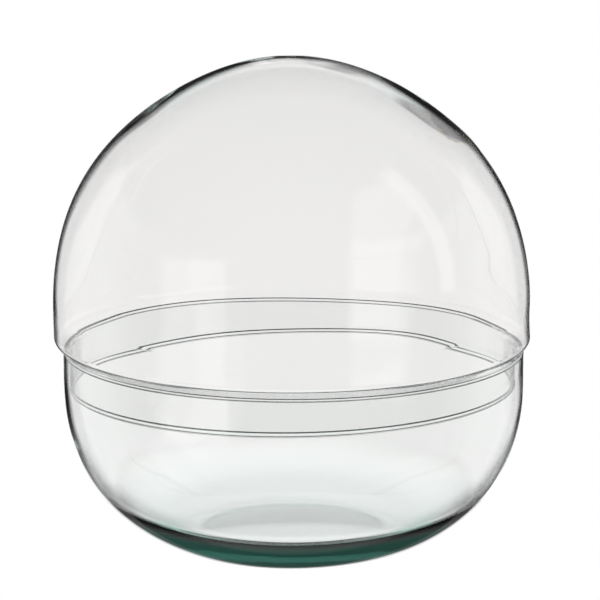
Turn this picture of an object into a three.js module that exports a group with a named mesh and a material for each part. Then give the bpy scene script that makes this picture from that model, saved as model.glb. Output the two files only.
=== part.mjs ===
// Glass cloche in two blown pieces: a round-bottomed bowl, and a dome cover
// whose collar drops inside the bowl while its shoulder rests on the bowl's rim.
// Millimetres, +Z up. The origin is the centre of the bowl's foot, on the
// surface that the cloche stands on.

import * as THREE from 'three';

// ---- Driving dimensions ----------------------------------------------------

const OVERALL_HEIGHT = 392;

// Dome cover
const COVER_RADIUS = 190;
const COVER_EQUATOR_HEIGHT = 192;
// How much fuller the dome is than an ellipse below 45 degrees, and leaner above
const COVER_FULLNESS = 0.022;
const COVER_WALL = 2.4;
const CROWN_THICKNESS = 6;
const SHOULDER_RADIUS = 9.4;
const LEDGE_UNDERSIDE_HEIGHT = 162;
const LEDGE_THICKNESS = 4.2;
const COLLAR_RADIUS = 178.4;
const COLLAR_WALL = 3.6;
const COLLAR_LIP_HEIGHT = 130;
const COLLAR_CORNER_RADIUS = 2.2;

// Bowl
const RIM_RADIUS = 184.4;
const RIM_WALL = 3.6;
// The side is upright down to here, and curves in below
const BOWL_CURVE_HEIGHT = 151.5;
const BOWL_FULLNESS = 2.53;
// Depths at which the outer and inner curves would reach the axis
const BOWL_OUTER_DEPTH = 162.5;
const BOWL_INNER_DEPTH = 155.5;
const FOOT_RADIUS = 75.5;
const FOOT_CURVE_RADIUS = 79;
const FOOT_CURVE_DEGREES = 26;
const FLOOR_THICKNESS = 8;
const FLOOR_RADIUS = 80;
const FLOOR_CURVE_HEIGHT = 12;

// Free height between the cover's ledge and the rim that it rests on
const REST_GAP = 0.3;

const SEGMENTS_AROUND = 60;

// ---- Profile helpers: points are (radius, height) --------------------------

// An arc about (centreRadius, centreHeight), from one angle to another,
// where 0 degrees points away from the axis and 90 degrees points up.
function arc(centreRadius, centreHeight, radius, fromDegrees, toDegrees, steps) {
  const points = [];
  for (let i = 0; i <= steps; i += 1) {
    const angle = THREE.MathUtils.degToRad(fromDegrees + (toDegrees - fromDegrees) * i / steps);
    points.push(new THREE.Vector2(
      centreRadius + radius * Math.cos(angle),
      centreHeight + radius * Math.sin(angle),
    ));
  }
  return points;
}

// The dome's curve from its equator up to the axis.
function domeCurve(equatorRadius, rise, steps) {
  const points = [];
  for (let i = 0; i < steps; i += 1) {
    const angle = Math.PI / 2 * i / steps;
    const swell = 1 + COVER_FULLNESS * Math.sin(2 * angle) ** 2 * Math.cos(2 * angle);
    points.push(new THREE.Vector2(
      equatorRadius * swell * Math.cos(angle),
      COVER_EQUATOR_HEIGHT + rise * swell * Math.sin(angle),
    ));
  }
  points.push(new THREE.Vector2(0, COVER_EQUATOR_HEIGHT + rise));
  return points;
}

// The bowl's side is a superellipse. Points run down it to a given height,
// closer together lower down, where it turns in faster.
function bowlCurve(topRadius, fullDepth, toHeight, steps) {
  const points = [];
  for (let i = 0; i <= steps; i += 1) {
    const depth = (BOWL_CURVE_HEIGHT - toHeight) * Math.sin(Math.PI / 2 * i / steps);
    const share = (depth / fullDepth) ** BOWL_FULLNESS;
    points.push(new THREE.Vector2(
      topRadius * (1 - share) ** (1 / BOWL_FULLNESS),
      BOWL_CURVE_HEIGHT - depth,
    ));
  }
  return points;
}

// ---- Materials -------------------------------------------------------------

function glass(colour) {
  return new THREE.MeshStandardMaterial({
    color: colour,
    roughness: 0.03,
    metalness: 0,
    transparent: true,
    opacity: 0.3,
  });
}

// ---- Pieces ----------------------------------------------------------------

// A closed body of revolution, from a profile that starts and ends on the axis.
function turned(name, profile, material) {
  const geometry = new THREE.LatheGeometry(profile, SEGMENTS_AROUND);
  geometry.rotateX(Math.PI / 2);
  const mesh = new THREE.Mesh(geometry, material);
  mesh.name = name;
  return mesh;
}

// The profile starts on the axis under the crown, runs down the inside, round
// the collar's lip, and up the outside to the top of the crown.
function makeDomeCover() {
  const lipRadius = COLLAR_WALL / 2;
  const collarInside = COLLAR_RADIUS - COLLAR_WALL;
  const ledgeTop = LEDGE_UNDERSIDE_HEIGHT + LEDGE_THICKNESS;
  const innerShoulderRadius = SHOULDER_RADIUS - COVER_WALL;
  const rise = OVERALL_HEIGHT - COVER_EQUATOR_HEIGHT;

  const innerDome = domeCurve(COVER_RADIUS - COVER_WALL, rise - CROWN_THICKNESS, 14).reverse();
  const innerShoulder = arc(
    COVER_RADIUS - SHOULDER_RADIUS,
    ledgeTop + innerShoulderRadius,
    innerShoulderRadius,
    0,
    -90,
    4,
  );
  const ledgeEdge = arc(
    collarInside + COLLAR_CORNER_RADIUS,
    ledgeTop - COLLAR_CORNER_RADIUS,
    COLLAR_CORNER_RADIUS,
    90,
    180,
    3,
  );
  const lip = arc(
    COLLAR_RADIUS - lipRadius,
    COLLAR_LIP_HEIGHT + lipRadius,
    lipRadius,
    -180,
    0,
    6,
  );
  const underLedge = arc(
    COLLAR_RADIUS + COLLAR_CORNER_RADIUS,
    LEDGE_UNDERSIDE_HEIGHT - COLLAR_CORNER_RADIUS,
    COLLAR_CORNER_RADIUS,
    180,
    90,
    3,
  );
  // The shoulder starts where the curve under the ledge ends
  const shoulder = arc(
    COVER_RADIUS - SHOULDER_RADIUS,
    LEDGE_UNDERSIDE_HEIGHT + SHOULDER_RADIUS,
    SHOULDER_RADIUS,
    -90,
    0,
    6,
  );
  shoulder.shift();
  const profile = [
    ...innerDome,
    ...innerShoulder,
    ...ledgeEdge,
    ...lip,
    ...underLedge,
    ...shoulder,
    ...domeCurve(COVER_RADIUS, rise, 14),
  ];
  return turned('dome_cover', profile, glass(0xdfeae4));
}

// The profile starts at the foot's centre, runs up the outside to the rim, and
// down the inside to the floor's centre.
function makeBowl() {
  const rimCurveRadius = RIM_WALL / 2;
  const rimCurveHeight = LEDGE_UNDERSIDE_HEIGHT - REST_GAP - rimCurveRadius;

  // The foot's curve leaves the flat smoothly, and meets the side at the side's own slope.
  const footCurve = arc(
    FOOT_RADIUS,
    FOOT_CURVE_RADIUS,
    FOOT_CURVE_RADIUS,
    -90,
    -90 + FOOT_CURVE_DEGREES,
    4,
  );
  const footTop = footCurve[footCurve.length - 1].y;
  const outerSide = bowlCurve(RIM_RADIUS, BOWL_OUTER_DEPTH, footTop, 13).reverse();
  outerSide.shift();

  const rim = arc(RIM_RADIUS - rimCurveRadius, rimCurveHeight, rimCurveRadius, 0, 180, 6);
  const innerSide = bowlCurve(
    RIM_RADIUS - RIM_WALL,
    BOWL_INNER_DEPTH,
    FLOOR_CURVE_HEIGHT,
    12,
  );
  const profile = [
    new THREE.Vector2(0, 0),
    ...footCurve,
    ...outerSide,
    ...rim,
    ...innerSide,
    new THREE.Vector2(FLOOR_RADIUS, FLOOR_THICKNESS),
    new THREE.Vector2(0, FLOOR_THICKNESS),
  ];
  return turned('bowl', profile, glass(0xd6e6de));
}

const cloche = new THREE.Group();
cloche.add(makeBowl());
cloche.add(makeDomeCover());

export default cloche;
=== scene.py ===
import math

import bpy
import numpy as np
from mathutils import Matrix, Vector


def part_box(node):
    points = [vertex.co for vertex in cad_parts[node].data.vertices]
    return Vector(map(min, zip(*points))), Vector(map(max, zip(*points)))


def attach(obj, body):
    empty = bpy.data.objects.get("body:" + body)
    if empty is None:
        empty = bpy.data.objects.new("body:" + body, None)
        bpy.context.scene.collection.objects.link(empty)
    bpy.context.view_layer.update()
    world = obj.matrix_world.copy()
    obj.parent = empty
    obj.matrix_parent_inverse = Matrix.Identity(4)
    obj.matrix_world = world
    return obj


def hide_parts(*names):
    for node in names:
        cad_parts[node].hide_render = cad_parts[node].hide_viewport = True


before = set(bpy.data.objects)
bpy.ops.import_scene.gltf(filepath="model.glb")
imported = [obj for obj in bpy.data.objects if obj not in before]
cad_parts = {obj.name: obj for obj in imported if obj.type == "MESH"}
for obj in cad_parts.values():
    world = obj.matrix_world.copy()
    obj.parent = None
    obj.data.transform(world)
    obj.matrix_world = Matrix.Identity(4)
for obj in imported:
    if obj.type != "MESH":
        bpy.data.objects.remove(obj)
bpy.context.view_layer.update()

# Glass cloche: a dome cover and a round-bottomed bowl, both blown in recycled glass.
# Metres, +Z up. Each glass is one closed skin, turned about Z and then disturbed a
# little, as glass shaped by hand is.

MM = 0.001
SEGMENTS = 400
# Distances between a profile's points: along long runs, next to a run's ends, and round bends
FINE_STEP = 1.8 * MM
END_STEP = 0.25 * MM
BEND_STEP = 0.4 * MM
ROUND_STEP = 0.3 * MM
SAME_POINT = 0.001 * MM
QUARTER_TURN = 1.57

# ---- Sizes: outer sizes from the frame's boxes, the rest from here -------------

COVER_LOW, COVER_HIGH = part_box("dome_cover")
BOWL_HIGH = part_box("bowl")[1]

COVER_RADIUS = COVER_HIGH.x
CROWN_HEIGHT = COVER_HIGH.z
LIP_HEIGHT = COVER_LOW.z
RIM_RADIUS = BOWL_HIGH.x
RIM_HEIGHT = BOWL_HIGH.z

# Dome cover
EQUATOR_HEIGHT = 192 * MM
COVER_FULLNESS = 0.022
COVER_WALL = 2.0 * MM
CROWN_WALL = 3.2 * MM
CROWN_DEGREES = (8, 66)
# The ledge slopes down from the shoulder to the collar, with a bend at each end
SHOULDER_WIDTH = 190.4 * MM
SHOULDER_BEND = 7 * MM
LEDGE_WALL = 1.8 * MM
LEDGE_SLOPE_DEGREES = 35
LEDGE_REST_RADIUS = 182.6 * MM
LEDGE_CLEARANCE = 0.7 * MM
COLLAR_RADIUS = 178.4 * MM
COLLAR_BEND = 2 * MM
LIP_WALL = 4.6 * MM
LIP_OVERHANG = 0.5 * MM
# The cover sits a little off the bowl's centre, its dome leans the same way, and its lip is
# not quite level
COVER_SIDE_SHIFT = -1.0 * MM
DOME_LEAN = -0.8 * MM
LIP_SLANT = 2.0 * MM

# Bowl
RIM_DROP = 0.4 * MM
RIM_WALL = 3.0 * MM
BOWL_WALL = 2.1 * MM
BOWL_CURVE_HEIGHT = 151.5 * MM
BOWL_FULLNESS = 2.53
BOWL_DEPTH = 162.5 * MM
FOOT_CURVE_RADIUS = 79 * MM
# The inside follows the outside, this far further in and up, at the foot and above it
FOOT_INWARD = 4.2 * MM
FOOT_UPWARD = 5.2 * MM
WALL_UPWARD = 1.0 * MM
THICK_BELOW = 9 * MM
THIN_ABOVE = 50 * MM
# The hand-made unevenness grows from none to full between these radii
STILL_FOOT = (75 * MM, 110 * MM)

# Thick spots that the blowing left inside the cover near the crown's edge: angle round the
# cover, angle from the crown, their spreads, all in degrees, and how far they stand in
COVER_MARKS = [
    (-13, 39, 14, 5, 0.6 * MM),
    (180, 36, 9, 4, 0.5 * MM),
    (96, 44, 12, 4, 0.8 * MM),
    (20, 34, 16, 6, 1.4 * MM),
]
# Low bumps on the outside, in the same terms
COVER_BUMPS = [
    (11, 47, 9, 3.2, 0.7 * MM),
    (152, 58, 10, 4, 0.4 * MM),
]
# Where the cover's glass is greener, and where it is scarred, in the same terms but from 0 to 1
COVER_GATHERS = [
    (157, 29, 22, 8, 1.0),
    (22, 34, 18, 6, 1.0),
]
COVER_SCARS = [
    (-10, 40, 12, 4.6, 1.0),
    (189, 38, 8, 3.4, 0.95),
]
# The bowl's glass is greener round its heel, and on the outside there it carries a painted shade
# that stands
# in for the light the thick heel traps: from these radii out and these heights down
HEEL_GREEN_HEIGHTS = (12 * MM, 26 * MM)
HEEL_GREEN_RADII = (76 * MM, 98 * MM)
HEEL_SHADE_HEIGHTS = (30 * MM, 44 * MM)
# The unevenness of the outside and of the thickness: seed, how finely it waves upwards, how
# many times round at most, and its size
COVER_RIPPLE = (11, 5, 4, 0.25 * MM)
COVER_WALL_RIPPLE = (23, 9, 6, 0.12 * MM)
BOWL_RIPPLE = (31, 6, 4, 0.25 * MM)
BOWL_WALL_RIPPLE = (47, 9, 5, 0.15 * MM)
RIPPLE_TERMS = 14
# It fades out towards the axis within this radius, and over these heights, which are measured
# up from the cover's shoulder and from its equator, and down from the bowl's rim
RIPPLE_FULL_RADIUS = 60 * MM
STILL_ABOVE_SHOULDER = 4 * MM
FREE_ABOVE_EQUATOR = 25 * MM
FREE_BELOW_RIM = 45 * MM
STILL_BELOW_RIM = 15 * MM
# How far the blown sides stand out over the shapes that the frame's boxes give
COVER_SWELL = 0.8 * MM
BOWL_SWELL = 0.9 * MM
# The bowl's swell grows between the first two heights and fades between the last two
BOWL_SWELL_HEIGHTS = (12 * MM, 60 * MM, 100 * MM, 145 * MM)


# ---- Profiles: arrays of (radius, height) -----------------------------------

def smooth_steps(value, low, high):
    share = np.clip((value - low) / (high - low), 0, 1)
    return share * share * (3 - 2 * share)


def arc(centre, radius, from_degrees, to_degrees, step):
    """Points on an arc, where 0 degrees points away from the axis and 90 degrees up."""
    span = math.radians(abs(to_degrees - from_degrees))
    count = max(3, round(radius * span / step))
    angles = np.radians(np.linspace(from_degrees, to_degrees, count + 1))
    across = centre[0] + radius * np.cos(angles)
    up = centre[1] + radius * np.sin(angles)
    return np.column_stack((across, up))


def dome_curve(radius, rise):
    """The dome from its equator up to the axis."""
    count = round(QUARTER_TURN * radius / FINE_STEP)
    angle = np.linspace(0, math.pi / 2, count)
    swell = 1 + COVER_FULLNESS * np.sin(2 * angle) ** 2 * np.cos(2 * angle)
    across = radius * swell * np.cos(angle)
    up = EQUATOR_HEIGHT + rise * swell * np.sin(angle)
    points = np.column_stack((across, up))
    points[-1, 0] = 0
    return points


def bowl_radius(height):
    """The bowl's side is a superellipse."""
    share = ((BOWL_CURVE_HEIGHT - height) / BOWL_DEPTH) ** BOWL_FULLNESS
    return RIM_RADIUS * (1 - share) ** (1 / BOWL_FULLNESS)


def bowl_slope(height):
    """The side's angle from level, in radians."""
    small = 0.01 * MM
    return math.atan2(2 * small, bowl_radius(height + small) - bowl_radius(height - small))


def bowl_outside():
    """From the foot's centre along the flat, round the foot's curve, and up the side."""
    # The angle that the foot's curve turns through, in radians, is between these
    low, high = 0.1, 1.0
    while high - low > 1e-6:
        middle = (low + high) / 2
        if bowl_slope(FOOT_CURVE_RADIUS * (1 - math.cos(middle))) > middle:
            low = middle
        else:
            high = middle
    # The curve ends where it has the side's own slope
    curve_top = FOOT_CURVE_RADIUS * (1 - math.cos(low))
    foot_radius = bowl_radius(curve_top) - FOOT_CURVE_RADIUS * math.sin(low)
    foot_centre = (foot_radius, FOOT_CURVE_RADIUS)
    foot = arc(foot_centre, FOOT_CURVE_RADIUS, -90, math.degrees(low) - 90, FINE_STEP)
    rise = BOWL_CURVE_HEIGHT - curve_top
    share = np.sin(np.linspace(math.pi / 2, 0, round(1.5 * rise / FINE_STEP)))
    height = BOWL_CURVE_HEIGHT - rise * share
    side = np.column_stack((bowl_radius(height), height))
    return joined([[(0, 0)], foot, side[1:]])


def straight(start, end, step=FINE_STEP):
    """Points between two points, without the ends. The first and last are close to the ends, so
    that corners shade crisply."""
    start, end = np.array(start), np.array(end)
    length = np.linalg.norm(end - start)
    count = max(1, round(length / step))
    share = np.arange(1, count) / count
    if length > 4 * END_STEP:
        share = np.unique(np.concatenate((share, [END_STEP / length, 1 - END_STEP / length])))
    return start + share[:, None] * (end - start)


def joined(parts):
    """One profile from several, with straight runs filled in and doubled points dropped."""
    points = [np.array(parts[0])]
    for part in parts[1:]:
        points.append(straight(points[-1][-1], part[0]))
        points.append(np.array(part))
    profile = np.vstack([p for p in points if len(p)])
    keep = np.ones(len(profile), bool)
    keep[1:] = np.linalg.norm(np.diff(profile, axis=0), axis=1) > SAME_POINT
    return profile[keep]


def bead(centre, radius, inner_face, outer_face):
    """A round bead on the lower end of a wall, meeting the wall's two faces in sharp necks."""
    inner_neck = math.degrees(math.asin((centre[0] - inner_face) / radius))
    outer_neck = math.degrees(math.asin((outer_face - centre[0]) / radius))
    return arc(centre, radius, 90 + inner_neck, 450 - outer_neck, ROUND_STEP)


def profile_normals(profile):
    tangent = np.gradient(profile, axis=0)
    tangent /= np.linalg.norm(tangent, axis=1)[:, None] + 1e-12
    return np.column_stack((tangent[:, 1], -tangent[:, 0]))


# ---- Hand-made irregularity ---------------------------------------------------

def ripple(radius, height, angle, seed, waves, turns, size):
    """A smooth random field over the glass, in metres: waves up it and turns round it."""
    size = size * smooth_steps(radius, 0, RIPPLE_FULL_RADIUS)
    draw = np.random.RandomState(seed)
    field = np.zeros(np.broadcast(height, angle).shape)
    for _ in range(RIPPLE_TERMS):
        up = draw.uniform(0.3, 1) * waves
        around = draw.randint(1, turns + 1)
        rising = np.cos(2 * math.pi * up * height + draw.uniform(0, 6.28))
        turning = np.cos(around * angle + draw.uniform(0, 6.28))
        field = field + rising * turning
    return size * field / math.sqrt(RIPPLE_TERMS / 4)


def spots(places, angle, polar):
    """A field with a soft round hump at each of the given places. Angles are in degrees."""
    total = 0
    for at_angle, at_polar, angle_spread, polar_spread, size in places:
        turn = (angle - at_angle + 180) % 360 - 180
        tilt = polar - at_polar
        distance = (turn / angle_spread) ** 2 + (tilt / polar_spread) ** 2
        total = total + size * np.exp(-0.5 * distance)
    return total


# ---- Meshes -------------------------------------------------------------------

def turned(name, profile, shift, paint, body, node, material_slot, material):
    """A closed skin turned about Z, which rides on the body and stands for the node.
    shift(radius, height, angle, normal) moves its points, in metres, and
    paint(radius, height, angle) gives fields for its material."""
    angle = np.arange(SEGMENTS) * 2 * math.pi / SEGMENTS
    normal = profile_normals(profile)
    radius = profile[:, 0][:, None]
    height = profile[:, 1][:, None]
    out, up, side = shift(radius, height, angle[None, :], normal)
    ring_radius = radius + out
    ring_height = height + up
    ring_radius[[0, -1]] = 0
    ring_height[[0, -1]] = ring_height[[0, -1]].mean(axis=1)[:, None]
    x = ring_radius * np.cos(angle) + side
    y = ring_radius * np.sin(angle)
    rings = np.stack((x, y, ring_height), axis=2)

    vertices = [tuple(rings[0, 0])]
    vertices += [tuple(p) for p in rings[1:-1].reshape(-1, 3)]
    vertices.append(tuple(rings[-1, 0]))
    last = len(vertices) - 1
    count = len(profile) - 2
    faces = []
    for j in range(SEGMENTS):
        k = (j + 1) % SEGMENTS
        faces.append((0, 1 + k, 1 + j))
        for i in range(count - 1):
            a, b = 1 + i * SEGMENTS, 1 + (i + 1) * SEGMENTS
            faces.append((a + j, a + k, b + k, b + j))
        a = 1 + (count - 1) * SEGMENTS
        faces.append((a + j, a + k, last))
    mesh = bpy.data.meshes.new(name)
    mesh.from_pydata(vertices, [], faces)
    mesh.polygons.foreach_set("use_smooth", [True] * len(mesh.polygons))
    for field, values in paint(radius, height, angle[None, :]).items():
        values = np.broadcast_to(values, ring_radius.shape)
        values = np.concatenate(([values[0, 0]], values[1:-1].ravel(), [values[-1, 0]]))
        attribute = mesh.attributes.new(field, "FLOAT", "POINT")
        attribute.data.foreach_set("value", values.astype(np.float32))
    mesh.update()
    piece = bpy.data.objects.new(name, mesh)
    bpy.context.scene.collection.objects.link(piece)
    piece.data.materials.append(material)
    piece.visible_shadow = False
    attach(piece, body)
    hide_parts(node)
    return piece


# ---- Shader node helpers ----------------------------------------------------------

def math_node(tree, operation, *values):
    node = tree.nodes.new("ShaderNodeMath")
    node.operation = operation
    for slot, value in enumerate(values):
        if isinstance(value, (int, float)):
            node.inputs[slot].default_value = value
        else:
            tree.links.new(value, node.inputs[slot])
    return node.outputs[0]


def eased(tree, value, low, high, from_level=0.0, to_level=1.0):
    """from_level below low, to_level above high, and a smooth step between."""
    node = tree.nodes.new("ShaderNodeMapRange")
    node.interpolation_type = "SMOOTHSTEP"
    tree.links.new(value, node.inputs["Value"])
    node.inputs["From Min"].default_value = low
    node.inputs["From Max"].default_value = high
    node.inputs["To Min"].default_value = from_level
    node.inputs["To Max"].default_value = to_level
    return node.outputs["Result"]


# ---- Glass ----------------------------------------------------------------------

# Streaks and waves that stay in glass melted from old bottles
STREAK_SCALE = 14
STREAK_STRETCH = (1, 1, 2.6)
CLEAR = ((0.990, 1.0, 0.992), (1.0, 0.996, 0.990))
WAVE_SCALE = 26
WAVE_HEIGHT = 0.02 * MM
CORD_SCALE = 90
CORD_STRETCH = (1, 1, 0.12)
CORD_HEIGHT = 0.0008 * MM
SMEAR_SCALE = 9
SMEAR_NOISE = (0.45, 0.75)
SMEAR_ROUGHNESS = 0.004
GLASS_IOR = 1.5
# In the pairs called FACING, 0 is glass seen square on and 1 is glass seen edge on.
# Where the glass gathered it looks green from a slant, more in some streaks than in others
GREEN_FACING = (0.58, 0.88)
GREEN_LEAST = 0.6
GREEN_STREAKS = 0.8
# Painted shade: the light that the thick glass of the bowl's heel traps and bends is painted in
# as a dark green diffuse share
HEEL_SHADE_FACING = (0.42, 0.50)
HEEL_SHADE_COLOUR = (0.12, 0.54, 0.41)
HEEL_SHADE_SHARE = 0.85
# A scar is grey with an amber edge, and fades where the glass is seen square on
SCAR_FACING = (0.38, 0.52)
SCAR_GREY = (0.36, 0.38, 0.375)
SCAR_AMBER = (0.80, 0.62, 0.42)
SCAR_RAGGED_SCALE = 75
SCAR_RAGGED = 0.5
SCAR_EDGE = (0.47, 0.49)
SCAR_RIM = (0.40, 0.44)

# What each noise adds to its glass's place in the pattern
SMEAR_PLACE = 3
SCAR_PLACE = 5
WAVE_PLACE = 7
CORD_PLACE = 11

# Each glass: the colour left after absorption, its density, the colour where the glass
# gathered, and its place in the noise pattern
COVER_GLASS = ((0.1, 0.72, 0.6), 4.6, (0.38, 0.66, 0.56), 5)
BOWL_GLASS = ((0.0, 0.76, 0.60), 8.5, (0.16, 0.50, 0.38), 9)


def noise(tree, coordinates, scale, detail, place, stretch=(1, 1, 1)):
    """Smooth noise in the piece's own metres. The place picks a part of the pattern."""
    mapping = tree.nodes.new("ShaderNodeMapping")
    tree.links.new(coordinates, mapping.inputs["Vector"])
    mapping.inputs["Location"].default_value = (place, place * 0.37, place * 0.71)
    mapping.inputs["Scale"].default_value = stretch
    node = tree.nodes.new("ShaderNodeTexNoise")
    tree.links.new(mapping.outputs["Vector"], node.inputs["Vector"])
    node.inputs["Scale"].default_value = scale
    node.inputs["Detail"].default_value = detail
    return node.outputs["Fac"]


def bump(tree, height, distance, normal=None):
    node = tree.nodes.new("ShaderNodeBump")
    node.inputs["Distance"].default_value = distance
    tree.links.new(height, node.inputs["Height"])
    if normal:
        tree.links.new(normal, node.inputs["Normal"])
    return node.outputs["Normal"]


def mixed(tree, share, first, second):
    node = tree.nodes.new("ShaderNodeMix")
    node.data_type = "RGBA"
    for value, socket in ((share, "Factor"), (first, "A"), (second, "B")):
        if isinstance(value, tuple):
            node.inputs[socket].default_value = (*value, 1)
        else:
            tree.links.new(value, node.inputs[socket])
    return node.outputs["Result"]


def painted(tree, name):
    """A field that the mesh carries, from 0 to 1."""
    node = tree.nodes.new("ShaderNodeAttribute")
    node.attribute_name = name
    return node.outputs["Fac"]


def clear_glass(name, absorb, density, gathered, place):
    """Glass that reads three painted fields from its mesh: gather, scar, and the painted shade
    of the bowl's heel.
    """
    material = bpy.data.materials.new(name)
    material.use_nodes = True
    tree = material.node_tree
    shader = tree.nodes["Principled BSDF"]
    shader.inputs["IOR"].default_value = GLASS_IOR
    coordinates = tree.nodes.new("ShaderNodeTexCoord").outputs["Object"]

    streaks = noise(tree, coordinates, STREAK_SCALE, 2, place, STREAK_STRETCH)
    colour = mixed(tree, streaks, *CLEAR)
    cloudy = math_node(tree, "MULTIPLY_ADD", streaks, GREEN_STREAKS, GREEN_LEAST)
    edgewise = tree.nodes.new("ShaderNodeLayerWeight").outputs["Facing"]
    depth = math_node(tree, "MULTIPLY", cloudy, eased(tree, edgewise, *GREEN_FACING))
    green = math_node(tree, "MULTIPLY", painted(tree, "gather"), depth)
    colour = mixed(tree, green, colour, gathered)
    ragged = noise(tree, coordinates, SCAR_RAGGED_SCALE, 2, place + SCAR_PLACE)
    slanting = eased(tree, edgewise, *SCAR_FACING)
    scar = math_node(tree, "MULTIPLY", painted(tree, "scar"), slanting)
    scar = math_node(tree, "MULTIPLY_ADD", ragged, SCAR_RAGGED, scar)
    scar = math_node(tree, "SUBTRACT", scar, SCAR_RAGGED / 2)
    colour = mixed(tree, eased(tree, scar, *SCAR_RIM), colour, SCAR_AMBER)
    colour = mixed(tree, eased(tree, scar, *SCAR_EDGE), colour, SCAR_GREY)
    # Painted shade at the bowl's heel: seen from a slant, part of the glass turns to a dark
    # green diffuse colour instead of letting light through
    slanting = eased(tree, edgewise, *HEEL_SHADE_FACING)
    haze = math_node(tree, "MULTIPLY", painted(tree, "haze"), slanting)
    # Only from outside, so that the far side of the heel stays clear
    from_behind = tree.nodes.new("ShaderNodeNewGeometry").outputs["Backfacing"]
    from_outside = math_node(tree, "SUBTRACT", 1.0, from_behind)
    haze = math_node(tree, "MULTIPLY", haze, from_outside)
    colour = mixed(tree, haze, colour, HEEL_SHADE_COLOUR)
    tree.links.new(colour, shader.inputs["Base Color"])
    clear_share = math_node(tree, "MULTIPLY_ADD", haze, -HEEL_SHADE_SHARE, 1.0)
    tree.links.new(clear_share, shader.inputs["Transmission Weight"])

    smears = noise(tree, coordinates, SMEAR_SCALE, 1, place + SMEAR_PLACE)
    roughness = eased(tree, smears, *SMEAR_NOISE, 0.0, SMEAR_ROUGHNESS)
    tree.links.new(roughness, shader.inputs["Roughness"])

    waves = noise(tree, coordinates, WAVE_SCALE, 0, place + WAVE_PLACE)
    waves = bump(tree, waves, WAVE_HEIGHT)
    cords = noise(tree, coordinates, CORD_SCALE, 0, place + CORD_PLACE, CORD_STRETCH)
    tree.links.new(bump(tree, cords, CORD_HEIGHT, waves), shader.inputs["Normal"])

    volume = tree.nodes.new("ShaderNodeVolumeAbsorption")
    volume.inputs["Color"].default_value = (*absorb, 1)
    volume.inputs["Density"].default_value = density
    tree.links.new(volume.outputs["Volume"], tree.nodes["Material Output"].inputs["Volume"])
    return material


# ---- The two glasses --------------------------------------------------------------

def make_dome_cover():
    slope = math.radians(LEDGE_SLOPE_DEGREES)
    tilt = 90 - LEDGE_SLOPE_DEGREES
    # The face under the ledge passes through this point, and looks this way
    rest = np.array((LEDGE_REST_RADIUS, RIM_HEIGHT + LEDGE_CLEARANCE))
    facing = np.array((math.sin(slope), -math.cos(slope)))

    def centre_height(radius, through, offset):
        """Height of an arc's centre that lies this far out from the ledge's face."""
        return through[1] + (offset - (radius - through[0]) * facing[0]) / facing[1]

    shoulder_radius = SHOULDER_WIDTH - SHOULDER_BEND
    shoulder_height = centre_height(shoulder_radius, rest, -SHOULDER_BEND)
    collar_bend_radius = COLLAR_RADIUS + COLLAR_BEND
    collar_bend_height = centre_height(collar_bend_radius, rest, COLLAR_BEND)
    inside = COLLAR_RADIUS - LEDGE_WALL
    lip = LIP_WALL / 2
    rise = CROWN_HEIGHT - EQUATOR_HEIGHT
    shoulder = (shoulder_radius, shoulder_height)
    collar_bend = (collar_bend_radius, collar_bend_height)
    profile = joined([
        dome_curve(COVER_RADIUS - COVER_WALL, rise - COVER_WALL)[::-1],
        arc(shoulder, SHOULDER_BEND - LEDGE_WALL, 0, -tilt, BEND_STEP),
        arc(collar_bend, COLLAR_BEND + LEDGE_WALL, 180 - tilt, 180, ROUND_STEP),
        bead((COLLAR_RADIUS + LIP_OVERHANG - lip, LIP_HEIGHT + lip), lip, inside, COLLAR_RADIUS),
        arc(collar_bend, COLLAR_BEND, 180, 180 - tilt, ROUND_STEP),
        arc(shoulder, SHOULDER_BEND, -tilt, 0, BEND_STEP),
        dome_curve(COVER_RADIUS, rise),
    ])
    turning_point = np.argmin(profile[:, 1])
    is_inside = (np.arange(len(profile)) < turning_point)[:, None]

    def shift(radius, height, angle, normal):
        still = shoulder_height + STILL_ABOVE_SHOULDER
        free = smooth_steps(height, still, EQUATOR_HEIGHT + FREE_ABOVE_EQUATOR)
        polar = np.degrees(np.arctan2(radius, height - EQUATOR_HEIGHT))
        crown = (CROWN_WALL - COVER_WALL) * (1 - smooth_steps(polar, *CROWN_DEGREES))
        marks = spots(COVER_MARKS, np.degrees(angle), polar)
        bumps = spots(COVER_BUMPS, np.degrees(angle), polar)
        outline = ripple(radius, height, angle, *COVER_RIPPLE) * free
        outline = outline + COVER_SWELL * free + bumps
        unevenness = ripple(radius, height, angle, *COVER_WALL_RIPPLE) * free
        thickness = crown + marks + unevenness
        outward = np.where(is_inside, -1, 1)
        along = outline * outward + np.where(is_inside, thickness, 0)
        on_collar = 1 - smooth_steps(height, LIP_HEIGHT, collar_bend_height)
        slant = LIP_SLANT * np.cos(angle) * on_collar
        lean = DOME_LEAN * smooth_steps(height, rest[1], EQUATOR_HEIGHT)
        out = normal[:, 0][:, None] * along
        up = normal[:, 1][:, None] * along + slant
        return out, up, COVER_SIDE_SHIFT + lean

    def paint(radius, height, angle):
        polar = np.degrees(np.arctan2(radius, height - EQUATOR_HEIGHT))
        return {
            "gather": spots(COVER_GATHERS, np.degrees(angle), polar),
            "scar": spots(COVER_SCARS, np.degrees(angle), polar),
            "haze": 0 * polar,
        }

    material = clear_glass("cover_glass", *COVER_GLASS)
    names = ("cover", "dome_cover", "cover_glass")
    return turned("dome_cover_glass", profile, shift, paint, *names, material)


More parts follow.
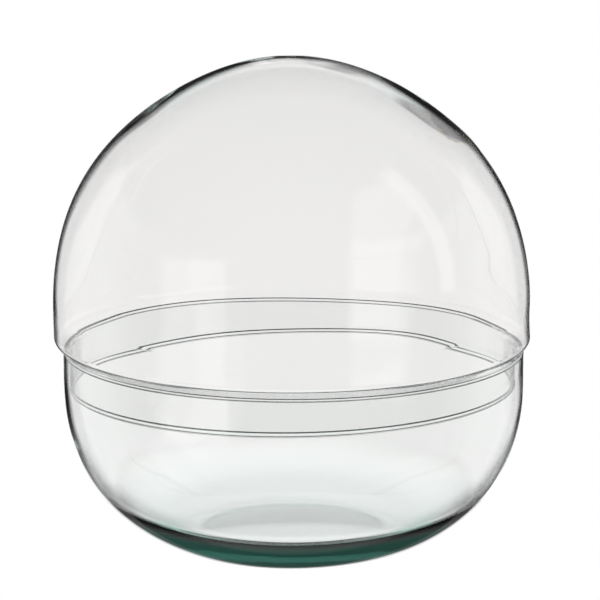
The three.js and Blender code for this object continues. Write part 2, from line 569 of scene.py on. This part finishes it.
def make_bowl():
    rim = RIM_WALL / 2
    rim_centre = RIM_HEIGHT - RIM_DROP - rim
    bead_radius = RIM_RADIUS - rim
    rim_end = 360 - math.degrees(math.acos((rim - BOWL_WALL) / rim))
    outer = bowl_outside()
    thin = smooth_steps(outer[:, 1], THICK_BELOW, THIN_ABOVE)
    inward = FOOT_INWARD + (BOWL_WALL - FOOT_INWARD) * thin
    upward = FOOT_UPWARD + (WALL_UPWARD - FOOT_UPWARD) * thin
    inner = outer + np.column_stack((-inward, upward))
    inner = np.vstack(([0, FOOT_UPWARD], inner[inner[:, 0] > FINE_STEP]))
    profile = joined([
        outer,
        arc((bead_radius, rim_centre), rim, 0, rim_end, ROUND_STEP),
        inner[:-1][::-1],
    ])
    turning_point = np.argmax(profile[:, 1])
    is_inside = (np.arange(len(profile)) > turning_point)[:, None]

    def shift(radius, height, angle, normal):
        free_below = RIM_HEIGHT - FREE_BELOW_RIM
        still_above = RIM_HEIGHT - STILL_BELOW_RIM
        free = 1 - smooth_steps(height, free_below, still_above)
        free = free * smooth_steps(radius, *STILL_FOOT)
        low, full, fading, none = BOWL_SWELL_HEIGHTS
        swell = BOWL_SWELL * smooth_steps(height, low, full)
        swell = swell * (1 - smooth_steps(height, fading, none))
        outline = ripple(radius, height, angle, *BOWL_RIPPLE) * free + swell
        thickness = ripple(radius, height, angle, *BOWL_WALL_RIPPLE) * free
        outward = np.where(is_inside, -1, 1)
        along = outline * outward + np.where(is_inside, thickness, 0)
        return normal[:, 0][:, None] * along, normal[:, 1][:, None] * along, 0

    def paint(radius, height, angle):
        beyond_foot = smooth_steps(radius, *HEEL_GREEN_RADII)
        green = beyond_foot * (1 - smooth_steps(height, *HEEL_GREEN_HEIGHTS))
        # Painted shade round the heel's outside, which stands in for the light that the thick
        # glass traps
        haze = beyond_foot * (1 - smooth_steps(height, *HEEL_SHADE_HEIGHTS))
        return {
            "gather": green,
            "scar": 0 * green,
            "haze": np.where(is_inside, 0, haze),
        }

    material = clear_glass("bowl_glass", *BOWL_GLASS)
    names = ("bowl", "bowl", "bowl_glass")
    return turned("bowl_glass", profile, shift, paint, *names, material)


# ---- Studio -------------------------------------------------------------------------

# How bright the surroundings are at an angle from the way the camera looks. Each row
# eases from the level before it to its own level between its two angles, in degrees.
FIELD_LEVEL = 0.97
FIELD_STEPS = [
    (10, 12, 0.03),
    (22, 32, 0.80),
    (50, 110, 0.10),
]
# Steps that end within this angle are the ones stretched below and above
FIELD_STRETCH_WITHIN = 40
FIELD_DARKEST = 0.03
FIELD_COLOUR = (1.030, 1.001, 1.010)
# Below, where the white table carries it on, the field reaches this many times as far, and
# above this many times. Between level and these leans it grows to that.
FIELD_REACH_BELOW = 1.8
FIELD_REACH_ABOVE = 1.2
FIELD_LEAN = (0.15, 0.75)

# Soft boxes, turning with the camera: ranges of a direction's parts to the right, up, and
# towards the camera, and how much light they add. In order: one high on the right, one on the
# left, one at the lower right, a strip that the bowl's floor reflects, a black card under the
# object, and a faint glow just below the white ground. A box fades out over twice the edge.
SOFT_BOXES = [
    ((0.42, 1.01), (0.03, 0.80), (0.09, 0.25), 0.7),
    ((-0.89, -0.51), (-0.80, 0.25), (0.05, 1.01), 0.6),
    ((0.44, 0.79), (-0.35, 0.76), (0.24, 1.01), 0.45),
    ((-0.10, 0.10), (0.43, 0.57), (-1.01, -0.60), 0.6),
    ((-1.01, 1.01), (-1.01, -0.45), (-1.01, 0.70), -0.55),
    ((-1.01, 1.01), (-0.52, -0.12), (-1.01, -0.60), 0.12),
]
SOFT_BOX_EDGE = 0.03


def within(tree, value, low, high):
    rising = eased(tree, value, low - SOFT_BOX_EDGE, low + SOFT_BOX_EDGE)
    falling = eased(tree, value, high - SOFT_BOX_EDGE, high + SOFT_BOX_EDGE, 1.0, 0.0)
    return math_node(tree, "MULTIPLY", rising, falling)


def make_world():
    """What the glass reflects and refracts: a white ground behind the object, dark beyond its
    edge and soft light around, as bright-field glass photography has it. It turns with the
    camera, and the camera itself sees plain white."""
    world = bpy.data.worlds.new("studio")
    bpy.context.scene.world = world
    world.use_nodes = True
    tree = world.node_tree
    coordinates = tree.nodes.new("ShaderNodeTexCoord")
    turn = tree.nodes.new("ShaderNodeVectorTransform")
    turn.vector_type = "VECTOR"
    turn.convert_from = "WORLD"
    turn.convert_to = "CAMERA"
    tree.links.new(coordinates.outputs["Generated"], turn.inputs[0])
    split = tree.nodes.new("ShaderNodeSeparateXYZ")
    tree.links.new(turn.outputs[0], split.inputs[0])
    side, up, ahead = split.outputs
    towards = math_node(tree, "MULTIPLY", ahead, -1.0)
    across = math_node(tree, "MULTIPLY_ADD", side, side, math_node(tree, "MULTIPLY", up, up))
    across = math_node(tree, "SQRT", across)
    angle = math_node(tree, "DEGREES", math_node(tree, "ARCTAN2", across, ahead))
    lean = math_node(tree, "DIVIDE", up, across)
    below = eased(tree, lean, -FIELD_LEAN[1], -FIELD_LEAN[0], FIELD_REACH_BELOW, 1.0)
    above = eased(tree, lean, *FIELD_LEAN, 1.0, FIELD_REACH_ABOVE)
    reach = math_node(tree, "MULTIPLY", below, above)
    near_angle = math_node(tree, "DIVIDE", angle, reach)

    level = FIELD_LEVEL
    before = FIELD_LEVEL
    for low, high, after in FIELD_STEPS:
        measured = near_angle if high < FIELD_STRETCH_WITHIN else angle
        change = eased(tree, measured, low, high, 0.0, after - before)
        level = math_node(tree, "ADD", level, change)
        before = after
    for sides, ups, toward, power in SOFT_BOXES:
        box = math_node(tree, "MULTIPLY", within(tree, side, *sides), within(tree, up, *ups))
        box = math_node(tree, "MULTIPLY", box, within(tree, towards, *toward))
        level = math_node(tree, "MULTIPLY_ADD", box, power, level)
    level = math_node(tree, "MAXIMUM", level, FIELD_DARKEST)

    glow = tree.nodes["Background"]
    tree.links.new(level, glow.inputs["Strength"])
    glow.inputs["Color"].default_value = (*FIELD_COLOUR, 1)
    paper = tree.nodes.new("ShaderNodeBackground")
    paper.inputs["Color"].default_value = (1, 1, 1, 1)
    path = tree.nodes.new("ShaderNodeLightPath")
    mix = tree.nodes.new("ShaderNodeMixShader")
    tree.links.new(path.outputs["Is Camera Ray"], mix.inputs["Fac"])
    tree.links.new(glow.outputs[0], mix.inputs[1])
    tree.links.new(paper.outputs[0], mix.inputs[2])
    tree.links.new(mix.outputs[0], tree.nodes["World Output"].inputs["Surface"])


FLOOR_REACH = 12.0
FLOOR_DROP = 0.5 * MM


def make_floor():
    """A plain white floor to the camera, which lets light from below through to the glass."""
    corners = [(-FLOOR_REACH, -FLOOR_REACH, 0), (FLOOR_REACH, -FLOOR_REACH, 0)]
    corners += [(FLOOR_REACH, FLOOR_REACH, 0), (-FLOOR_REACH, FLOOR_REACH, 0)]
    mesh = bpy.data.meshes.new("floor")
    mesh.from_pydata(corners, [], [(0, 1, 2, 3)])
    floor = bpy.data.objects.new("floor", mesh)
    bpy.context.scene.collection.objects.link(floor)
    floor.location.z = -FLOOR_DROP
    material = bpy.data.materials.new("floor")
    material.use_nodes = True
    tree = material.node_tree
    tree.nodes.remove(tree.nodes["Principled BSDF"])
    glow = tree.nodes.new("ShaderNodeEmission")
    glow.inputs["Strength"].default_value = 1.0
    clear = tree.nodes.new("ShaderNodeBsdfTransparent")
    path = tree.nodes.new("ShaderNodeLightPath")
    mix = tree.nodes.new("ShaderNodeMixShader")
    tree.links.new(path.outputs["Is Camera Ray"], mix.inputs["Fac"])
    tree.links.new(clear.outputs[0], mix.inputs[1])
    tree.links.new(glow.outputs[0], mix.inputs[2])
    tree.links.new(mix.outputs[0], tree.nodes["Material Output"].inputs["Surface"])
    floor.data.materials.append(material)


CAMERA_DISTANCE = 2.224
CAMERA_ELEVATION = 12.0
AIM_HEIGHT = 0.1972
AIM_SIDE = 0.0052
FRAME_WIDTH = 0.48
SENSOR_WIDTH = 36


def make_camera():
    data = bpy.data.cameras.new("camera")
    camera = bpy.data.objects.new("camera", data)
    bpy.context.scene.collection.objects.link(camera)
    centre = Vector((AIM_SIDE, 0.0, AIM_HEIGHT))
    elevation = math.radians(CAMERA_ELEVATION)
    back = Vector((0, -math.cos(elevation), math.sin(elevation)))
    camera.location = centre + back * CAMERA_DISTANCE
    camera.rotation_euler = (-back).to_track_quat("-Z", "Y").to_euler()
    data.sensor_width = SENSOR_WIDTH
    data.lens = SENSOR_WIDTH * CAMERA_DISTANCE / FRAME_WIDTH
    data.clip_end = 50
    bpy.context.scene.camera = camera


make_dome_cover()
make_bowl()
make_world()
make_floor()
make_camera()

# Light crosses many skins of glass, and turns black where its bounces run out
MANY_BOUNCES = 32
GLOSSY_BOUNCES = 16

scene = bpy.context.scene
scene.view_settings.view_transform = "Standard"
scene.cycles.max_bounces = MANY_BOUNCES
scene.cycles.transmission_bounces = MANY_BOUNCES
scene.cycles.glossy_bounces = GLOSSY_BOUNCES
scene.cycles.transparent_max_bounces = MANY_BOUNCES
